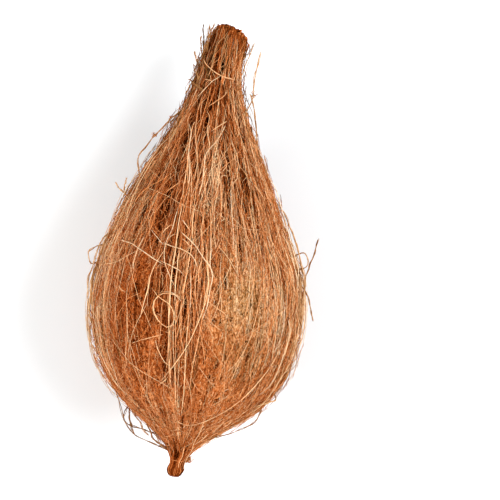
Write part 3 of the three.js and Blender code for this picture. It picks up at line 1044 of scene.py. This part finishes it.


def lay_by_hand(rng, strands, table, radii, loose, tones, dusty):
    """Lays frayed strands along the routes of a table, a share of them dusty."""
    points = 22
    for rise, rooted, places in table:
        s, across = np.array(places, float).T
        clear = np.maximum(rise, np.abs(across - side_bend(s)) - sheath_width(s) + 0.4)
        if rooted != "last":
            clear[0] = ROOT
        if rooted != "first":
            clear[-1] = ROOT
        route = even_steps(on_coir(s, angle_across(s, across, clear), clear), points)
        tone = rng.uniform(*tones)
        dust = some(rng, 1, dusty)[0]
        for _ in range(FRAYED):
            bends = smooth_curve(rng.normal(0, loose * MM, (points // 2, 3)), points - 1)
            strands.add([route + bends], taper(points, [rng.uniform(*radii)], 0.05),
                        tone + rng.normal(0, 0.08), dust)


def side_strands(rng, strands, side, count=80, points=12):
    """Loose strands along one side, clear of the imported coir."""
    middle = rng.normal(along_coir(104), 24, count)
    angle = np.radians(side + rng.normal(0, 15, count))
    length = rng.uniform(20, 80, count)
    heading = rng.normal(0, 0.06, count)
    ahead, across = wander(rng, count, points, length, heading, waver=0.06, kinks=0.05)
    lift = rng.uniform(0, 1, count)
    height = ends_down(points, 4.2 * lift**1.5 - 0.5, rng.uniform(0, 1, count), root=-1.6)
    paths = lay(middle, angle, ahead, across, height, over=True)
    # painted shade: strands lying lower are darker, the highest palest
    tone = toned(rng, middle, angle, 0.55 + 0.42 * lift, 0.14)
    strands.add(paths, taper(points, rng.uniform(0.1, 0.24, count)), tone, some(rng, count, 0.75))


def ridge_bundles(rng, strands, ridge, count, points=12):
    """Bundles of strands over an open ridge, painted darker the lower they lie, as shade."""
    bundles = rng.uniform(-14, 14, 8)
    middle = np.clip(rng.normal(along_coir(120), 34, count), along_coir(66), along_coir(190))
    length = rng.uniform(18, 85, count)
    beside = rng.choice(bundles, count) + rng.normal(0, 0.6, count)
    angle = np.radians(ridge) + beside / sheath_width(from_tip(middle))
    heading = rng.normal(0, 0.05, count) + rng.choice([0, 0, 0, -0.2, 0.2], count)
    ahead, across = wander(rng, count, points, length, heading, waver=0.05, kinks=0.05)
    lift = rng.uniform(0, 1, count)
    height = ends_down(points, 2.6 * lift - 1.7, rng.uniform(0, 0.8, count), root=-2.5)
    paths = np.where((lift > 0.8)[:, None, None],
                     lay(middle, angle, ahead, across, height, over=True),
                     lay(middle, angle, ahead, across, height))
    # painted shade: bundles lying lower are darker
    tone = toned(rng, middle, angle, 0.14 + 0.74 * lift, 0.1)
    strands.add(paths, taper(points, rng.uniform(0.1, 0.25, count)), tone,
                dusted(rng, middle, angle))


def ridge_mat(rng, strands, ridge, count, points=4):
    """Short curled fibres that mat a ridge between its bundles."""
    middle = rng.normal(along_coir(120), 26, count)
    angle = np.radians(ridge) + rng.normal(0, 9, count) / sheath_width(from_tip(middle))
    length = rng.uniform(1.5, 5.5, count)
    heading = rng.normal(0, 0.9, count)
    ahead, across = wander(rng, count, points, length, heading, curl=rng.normal(0, 1.6, count))
    level = rng.uniform(-1.8, 0.7, count)
    height = ends_down(points, level, 0, root=(level - 0.4)[:, None], share=0.3)
    paths = lay(middle, angle, ahead, across, height, over=True)
    # painted shade: the lower a fibre lies, the darker its tone
    strands.add(paths, taper(points, rng.uniform(0.1, 0.18, count), 0.3),
                toned(rng, middle, angle, 0.62 + 0.2 * level, 0.16))


def crossing_strands(rng, strands, count=480, points=12):
    """Single strands that cross the others, all round."""
    middle, angle = spread_over(rng, count, 20, along_coir(228))
    neck = smoothstep(from_tip(middle), 150, 215)
    length = rng.uniform(12, 55, count) * (1 - 0.5 * neck)
    heading = rng.normal(0, 0.45, count) * (1 - 0.5 * neck)
    curl = rng.normal(0, 0.35, count)
    ahead, across = wander(rng, count, points, length, heading, curl, waver=0.1)
    height = ends_down(points, rng.uniform(-0.3, 0.7, count), rng.uniform(0, 1.0, count))
    paths = lay(middle, angle, ahead, across, height, over=True)
    strands.add(paths, taper(points, rng.uniform(0.09, 0.17, count)),
                rng.uniform(0.5, 1.0, count))


def loose_strands():
    """Loose strands laid along listed routes, and others along the sides, over the ridges and all
    round.
    """
    rng = np.random.default_rng(61)
    strands = Strands()
    laid_over = [(rise, "both", places) for rise, places in LAID_OVER]
    lay_by_hand(rng, strands, laid_over, radii=(0.11, 0.18), loose=0.1, tones=(0.82, 1.0),
                dusty=0.4)
    lay_by_hand(rng, strands, LAID_OUTSIDE, radii=(0.17, 0.3), loose=0.24, tones=(0.48, 0.7),
                dusty=1.0)
    lay_by_hand(rng, strands, LAID_DARK, radii=(0.17, 0.3), loose=0.3, tones=(0.2, 0.46),
                dusty=1.0)
    for side in (180, 0):
        side_strands(rng, strands, side)
    for ridge, count in zip(OPEN_RIDGES, (170, 110, 110)):
        ridge_bundles(rng, strands, ridge, count)
    for ridge, count in zip(OPEN_RIDGES, (700, 300, 300)):
        ridge_mat(rng, strands, ridge, count)
    crossing_strands(rng, strands)
    return strands


def stand_out(rng, strands, middle, angle, points, length, sway, curl, level, arch, radii, tones,
              dusty, backward=None, waver=0.0, kinks=0.06):
    """Strands with one free end clear of the coir, some of them combed backwards."""
    count = len(middle)
    length = rng.uniform(*length, count)
    heading = rng.normal(0, sway, count) + rng.choice([0, math.pi], count, p=backward)
    curl = rng.normal(0, curl, count)
    ahead, across = wander(rng, count, points, length, heading, curl, waver, kinks)
    height = ends_down(points, level, rng.uniform(*arch, count), free_end=True)
    paths = lay(middle, angle, ahead, across, height, over=True)
    strands.add(paths, taper(points, rng.uniform(*radii, count)), rng.uniform(*tones, count),
                some(rng, count, dusty))


CUT_RADIUS = 9.8  # half the width of the cut end of the tuft
BRISTLES = 900
BRISTLES_FROM = 224
DOMED = 1.7  # how far the middle of the cut end stands out


def tuft_end(rng, strands):
    """The bristles of the cut end of the tuft."""
    out = CUT_RADIUS * np.sqrt(rng.uniform(0, 1, BRISTLES))
    angle = all_round(rng, BRISTLES)
    domed = DOMED * (out / CUT_RADIUS) ** 2
    reach = TUFT_END - domed + rng.normal(-1.6, 0.5, BRISTLES) + rng.exponential(0.4, BRISTLES)
    steps = np.array([0, 0.55, 0.995, 1.0])
    s = BRISTLES_FROM + (reach - BRISTLES_FROM)[:, None] * steps
    round_it = angle[:, None] + 0 * s
    spread = 1 + 0.04 * steps + relief(s, round_it) / CUT_RADIUS
    paths = on_coir(s, round_it, out[:, None] * spread - sheath_width(s))
    radii = rng.uniform(0.2, 0.42, BRISTLES)[:, None] * np.array([0, 1, 1, 0]) * MM
    strands.add(paths, radii, rng.uniform(0.15, 0.6, BRISTLES))


def strays():
    """Strands that stand clear of the outline, and the bristles of the cut end of the tuft."""
    rng = np.random.default_rng(71)
    strands = Strands()
    middle, angle = spread_over(rng, 900, 20, along_coir(234))
    stand_out(rng, strands, middle, angle, points=9, length=(6, 34), sway=0.35, curl=0.9,
              waver=0.3, level=-0.5, arch=(0.8, 4.6), radii=(0.09, 0.18), tones=(0.22, 0.7),
              dusty=0.3)

    # short fuzz all over
    middle, angle = spread_over(rng, 800, 16, LAST_PLACE)
    stand_out(rng, strands, middle, angle, points=5, length=(3, 12), sway=0.6, curl=1.2,
              level=-0.6, arch=(0.5, 2.2), radii=(0.07, 0.13), tones=(0.3, 0.8), dusty=0.2)

    # wisps beside the neck and the tuft
    count = 300
    middle = rng.uniform(along_coir(135), LAST_PLACE - 3, count)
    angle = np.radians(rng.choice([0, 180, 180], count) + rng.normal(0, 22, count))
    stand_out(rng, strands, middle, angle, points=9, length=(5, 26), sway=0.22, curl=0.5,
              backward=[0.7, 0.3], waver=0.3, kinks=0.15, level=-0.4, arch=(0.8, 4.4),
              radii=(0.1, 0.2), tones=(0.08, 0.5), dusty=0.8)
    tuft_end(rng, strands)
    return strands


# Tufts of lint, at the right of the knot and on strands that stand clear of the neck: from the
# tip, the turn in degrees, how far clear, their size and their strands.
LINT = [(10.2, 12, 0.2, 1.0, 90), (177, 180, 5, 0.9, 7), (187, 180, 2.6, 0.7, 5),
        (204, 0, 5, 0.9, 7), (219, 180, 1.2, 0.8, 6)]
# The strand wound round the waist of the knot: where, how often, how far clear and how thick.
WAIST = 8.6
TURNS_ROUND_WAIST = 1.1
WOUND_CLEAR = 0.25
WOUND_RADIUS = 0.14


def knot_strands():
    """Twisted strands of the knot at the tip, the one wound round its waist, and lint."""
    rng = np.random.default_rng(81)
    strands = Strands()
    count, points = 520, 9
    along = rng.uniform(2, 40, count)
    angle = all_round(rng, count)
    length = rng.uniform(8, 24, count)
    heading = rng.normal(0.12, 0.14, count)
    ahead, across = wander(rng, count, points, length, heading, waver=0.15)
    lift = rng.uniform(-0.5, 0.5, count)
    height = ends_down(points, lift - 0.4, 0, root=-1.2)
    paths = lay(along, angle, ahead, across * 0.5, height)
    # painted shade: strands lying lower are darker
    tone = toned(rng, along, angle, 0.45 + 0.35 * lift, 0.13)
    strands.add(paths, taper(points, rng.uniform(0.13, 0.3, count)), tone)

    points = 26
    turn = np.linspace(0, TURNS_ROUND_WAIST * math.tau, points)
    place = WAIST + 0.15 * np.sin(turn) + 0.05 * turn
    wound = on_coir(place, turn + 0.4, WOUND_CLEAR + 0 * turn)
    strands.add([wound], taper(points, [WOUND_RADIUS], 0.03), 0.6)

    points = 10
    for s, turn, clear, size, count in LINT:
        middle = on_coir(s, math.radians(turn), clear)
        for _ in range(count):
            path = middle + smooth_curve(rng.normal(0, size * MM, (4, 3)), points - 1)
            strands.add([path], taper(points, [rng.uniform(0.1, 0.2)], 0.1),
                        rng.uniform(0.3, 0.7), some(rng, 1, 0.35))
    return strands


STRAND_PIECES = {
    "under_strands": under_strands,
    "neck_strands": neck_strands,
    "neck_fuzz": neck_fuzz,
    "body_strands": body_strands,
    "felt_fibres": felt_fibres,
    "felt_flecks": felt_flecks,
    "loose_strands": loose_strands,
    "strays_and_tuft_end": strays,
    "knot_strands": knot_strands,
}


# ---- materials ----

def colour(red, green, blue):
    """A colour as it is seen on a screen, from 0 to 255, as light."""
    def light(value):
        value = value / 255
        return value / 12.92 if value <= 0.04045 else ((value + 0.055) / 1.055) ** 2.4
    return (light(red), light(green), light(blue), 1.0)


TONE_STOPS = [0.0, 0.2, 0.4, 0.6, 0.8, 1.0]
PLAIN_TONES = [colour(46, 12, 1), colour(113, 45, 8), colour(174, 85, 33),
               colour(216, 127, 66), colour(246, 175, 115), colour(255, 221, 174)]
DUSTY_TONES = [colour(50, 29, 9), colour(111, 72, 33), colour(168, 114, 64),
               colour(207, 156, 106), colour(238, 195, 148), colour(253, 227, 192)]
# How fine the noise is: across the palette and along a strand; over the cosine and sine of the
# turn and the whole length for the fibres, pits and slits of the husk; over a metre for its specks.
STRAND_GRAIN = (PALETTE_COLUMNS * 2.6, 80.0, 1.0)
FIBRE_GRAIN = (50, 50, 130)
PIT_GRAIN = (24, 24, 60)
SLIT_GRAIN = (56, 56, 14)
SPECK_GRAIN = (1100.0, 1100.0, 1100.0)
RELIEF_DEPTH = 0.8 * MM  # how deep the fine relief of the husk looks

# The colour sockets of a Mix node.
MIX_PLAIN, MIX_DUSTY, MIX_RESULT = 6, 7, 2


def add_node(tree, kind, inputs=None, **settings):
    """Adds a shader node with its settings; each input is linked to a socket or set."""
    node = tree.nodes.new(kind)
    for name, value in settings.items():
        setattr(node, name, value)
    for name, value in (inputs or {}).items():
        if isinstance(value, bpy.types.NodeSocket):
            tree.links.new(value, node.inputs[name])
        else:
            node.inputs[name].default_value = value
    return node


def coir_colour_group():
    """Colour of coir for a tone from 0, dark, to 1, pale, plain or dusty, changing along it."""
    group = bpy.data.node_groups.new("coir_colour", "ShaderNodeTree")
    interface = group.interface
    interface.new_socket("Tone", in_out="INPUT", socket_type="NodeSocketFloat")
    interface.new_socket("Place", in_out="INPUT", socket_type="NodeSocketVector")
    interface.new_socket("Unevenness", in_out="INPUT", socket_type="NodeSocketFloat")
    interface.new_socket("Dust", in_out="INPUT", socket_type="NodeSocketFloat")
    interface.new_socket("Color", in_out="OUTPUT", socket_type="NodeSocketColor")
    given = group.nodes.new("NodeGroupInput").outputs
    noise = add_node(group, "ShaderNodeTexNoise",
                     {"Vector": given["Place"], "Scale": 1.0, "Detail": 3.0})
    centred = add_node(group, "ShaderNodeMath", {0: noise.outputs["Fac"], 1: 0.5},
                       operation="SUBTRACT")
    shifted = add_node(group, "ShaderNodeMath",
                       {0: centred.outputs[0], 1: given["Unevenness"], 2: given["Tone"]},
                       operation="MULTIPLY_ADD")
    mix = add_node(group, "ShaderNodeMix", {"Factor": given["Dust"]}, data_type="RGBA")
    for tints, side in ((PLAIN_TONES, MIX_PLAIN), (DUSTY_TONES, MIX_DUSTY)):
        ramp = add_node(group, "ShaderNodeValToRGB", {"Fac": shifted.outputs[0]})
        stops = ramp.color_ramp.elements
        while len(stops) < len(tints):
            stops.new(0.5)
        for stop, position, tint in zip(stops, TONE_STOPS, tints):
            stop.position = position
            stop.color = tint
        group.links.new(ramp.outputs["Color"], mix.inputs[side])
    add_node(group, "NodeGroupOutput", {"Color": mix.outputs[MIX_RESULT]})
    return group


def new_material(name, roughness):
    """A matt material; gives it, its node tree and the inputs of its shader."""
    material = bpy.data.materials.new(name)
    material.use_nodes = True
    shader = material.node_tree.nodes["Principled BSDF"].inputs
    shader["Roughness"].default_value = roughness
    shader["Specular IOR Level"].default_value = 0.0
    return material, material.node_tree, shader


def strand_material(tones):
    """Tone and dust by the strand's place in the palette, changing along it."""
    material, tree, shader = new_material("coir_strands", 0.7)
    uv = add_node(tree, "ShaderNodeUVMap", uv_map="OFBake").outputs["UV"]
    split = add_node(tree, "ShaderNodeSeparateXYZ", {"Vector": uv})
    place = add_node(tree, "ShaderNodeMapping", {"Vector": uv, "Scale": STRAND_GRAIN})
    dusty = add_node(tree, "ShaderNodeMath", {0: split.outputs["Y"], 1: 0.5},
                     operation="GREATER_THAN")
    tinted = add_node(tree, "ShaderNodeGroup", node_tree=tones, inputs={
        "Tone": split.outputs["X"], "Dust": dusty.outputs[0],
        "Place": place.outputs["Vector"], "Unevenness": 1.4})
    tree.links.new(tinted.outputs["Color"], shader["Base Color"])
    return material


def husk_material(tones):
    """Felt of fine fibres with pits and slits painted darker as shade, and painted darker where the
    coir is open, as shade deep between the strands.
    """
    material, tree, shader = new_material("matted_coir", 0.9)

    def attribute(name):
        return add_node(tree, "ShaderNodeAttribute", attribute_name=name).outputs["Vector"]

    def stretched(vector, scale):
        node = add_node(tree, "ShaderNodeMapping", {"Vector": vector, "Scale": scale})
        return node.outputs["Vector"]

    def noise(place, detail, roughness=0.6):
        node = add_node(tree, "ShaderNodeTexNoise", {
            "Vector": place, "Scale": 1.0, "Detail": detail, "Roughness": roughness})
        return node.outputs["Fac"]

    def ranged(value, low, high, becomes):
        node = add_node(tree, "ShaderNodeMapRange", {
            "Value": value, "From Min": low, "From Max": high,
            "To Min": becomes[0], "To Max": becomes[1]})
        return node.outputs["Result"]

    def total(result, *values):
        for value in values:
            result = add_node(tree, "ShaderNodeMath", {0: result, 1: value},
                              operation="ADD").outputs[0]
        return result

    combed = attribute("combed")
    state = add_node(tree, "ShaderNodeSeparateXYZ", {"Vector": attribute("state")}).outputs
    paler, openness, dust = state["X"], state["Y"], state["Z"]
    fibres = noise(stretched(combed, FIBRE_GRAIN), detail=3, roughness=0.75)
    pits = noise(stretched(combed, PIT_GRAIN), detail=3, roughness=0.7)
    slits = noise(stretched(combed, SLIT_GRAIN), detail=1)
    # the fine relief sets the tone as well as the bump: the fibres vary in tone, and the pits and
    # slits are painted darker as shade
    height = total(ranged(fibres, 0.25, 0.75, becomes=(-0.42, 0.42)),
                   ranged(pits, 0.34, 0.42, becomes=(-0.45, 0.0)),
                   ranged(slits, 0.28, 0.34, becomes=(-0.5, 0.0)))
    # painted shade: the husk is darker where the coir is open, deep between the strands
    depth = ranged(openness, 0.1, 0.8, becomes=(0.5, -0.15))

    here = add_node(tree, "ShaderNodeTexCoord").outputs["Object"]
    tinted = add_node(tree, "ShaderNodeGroup", node_tree=tones, inputs={
        "Tone": total(height, depth, paler), "Dust": dust,
        "Place": stretched(here, SPECK_GRAIN), "Unevenness": 0.5})
    tree.links.new(tinted.outputs["Color"], shader["Base Color"])
    bump = add_node(tree, "ShaderNodeBump",
                    {"Height": height, "Strength": 0.6, "Distance": RELIEF_DEPTH})
    tree.links.new(bump.outputs["Normal"], shader["Normal"])
    return material


# ---- the floor, the light and the camera ----

FLOOR_COLOUR = (0.92, 0.963, 1.0, 1)
FLOOR_REACH = 4.0  # how far the floor goes each way, in metres like the lights' places and sizes
FILL_LIGHT = (1, 0.94, 0.86, 1)  # the light from all around is a little warm
FILL_STRENGTH = 0.42
# Two broad soft lights: their names, places and powers.
LIGHTS = [("right", (1.0, 0.3, 1.1), 24.4), ("left", (-1.2, -0.25, 0.95), 23.0)]
LIGHT_SIZE = 1.1
LIGHT_AIM = (0, 0.02, 0.05)


def make_floor():
    solid = bmesh.new()
    bmesh.ops.create_grid(solid, x_segments=1, y_segments=1, size=FLOOR_REACH)
    mesh = made_mesh("floor", solid)
    floor = new_object("floor", mesh)
    material, _, shader = new_material("pale_floor", 0.9)
    shader["Base Color"].default_value = FLOOR_COLOUR
    mesh.materials.append(material)


def make_light(name, place, power):
    light = bpy.data.lights.new(name, "AREA")
    light.shape = "DISK"
    light.size = LIGHT_SIZE
    light.energy = power
    lamp = new_object(name, light)
    lamp.location = place
    lamp.rotation_mode = "QUATERNION"
    lamp.rotation_quaternion = (Vector(LIGHT_AIM) - Vector(place)).to_track_quat("-Z", "Y")


def make_world():
    world = bpy.data.worlds.new("studio")
    world.use_nodes = True
    backdrop = world.node_tree.nodes["Background"].inputs
    backdrop["Color"].default_value = FILL_LIGHT
    backdrop["Strength"].default_value = FILL_STRENGTH
    bpy.context.scene.world = world


LENS = 200  # focal length, and the width of the sensor
SENSOR = 36
FIELD = 262.5 * MM  # what the camera sees across, at the middle of the coconut
LEAN = math.radians(7.1)  # the tuft leans this much to the right
# The place that the camera looks at: how far from the tip of the knot, and to the right.
AIM_ALONG = 123.1
AIM_ACROSS = 24.3


def make_camera():
    """Looks straight down on the long axis."""
    lengthwise = Vector((0, math.cos(DIP), -math.sin(DIP)))
    sideways = Vector((1, 0, 0))
    up = lengthwise * math.cos(LEAN) - sideways * math.sin(LEAN)
    right = sideways * math.cos(LEAN) + lengthwise * math.sin(LEAN)
    back = right.cross(up)
    aim = Vector(posed(AIM_ACROSS, AIM_ALONG, 0.0))
    data = bpy.data.cameras.new("camera")
    data.lens = LENS
    data.sensor_width = SENSOR
    camera = new_object("camera", data)
    distance = FIELD * LENS / SENSOR
    turn = Matrix((right, up, back)).transposed()
    camera.matrix_world = Matrix.Translation(aim + back * distance) @ turn.to_4x4()
    bpy.context.scene.camera = camera


make_camera()
make_world()
for light in LIGHTS:
    make_light(*light)
make_floor()
bpy.context.scene.view_settings.view_transform = "Standard"

coir_tones = coir_colour_group()
make_husk(husk_material(coir_tones))
coir = strand_material(coir_tones)
for piece_name, lay_strands in STRAND_PIECES.items():
    make_piece(piece_name, strand_mesh(piece_name, lay_strands()), coir)
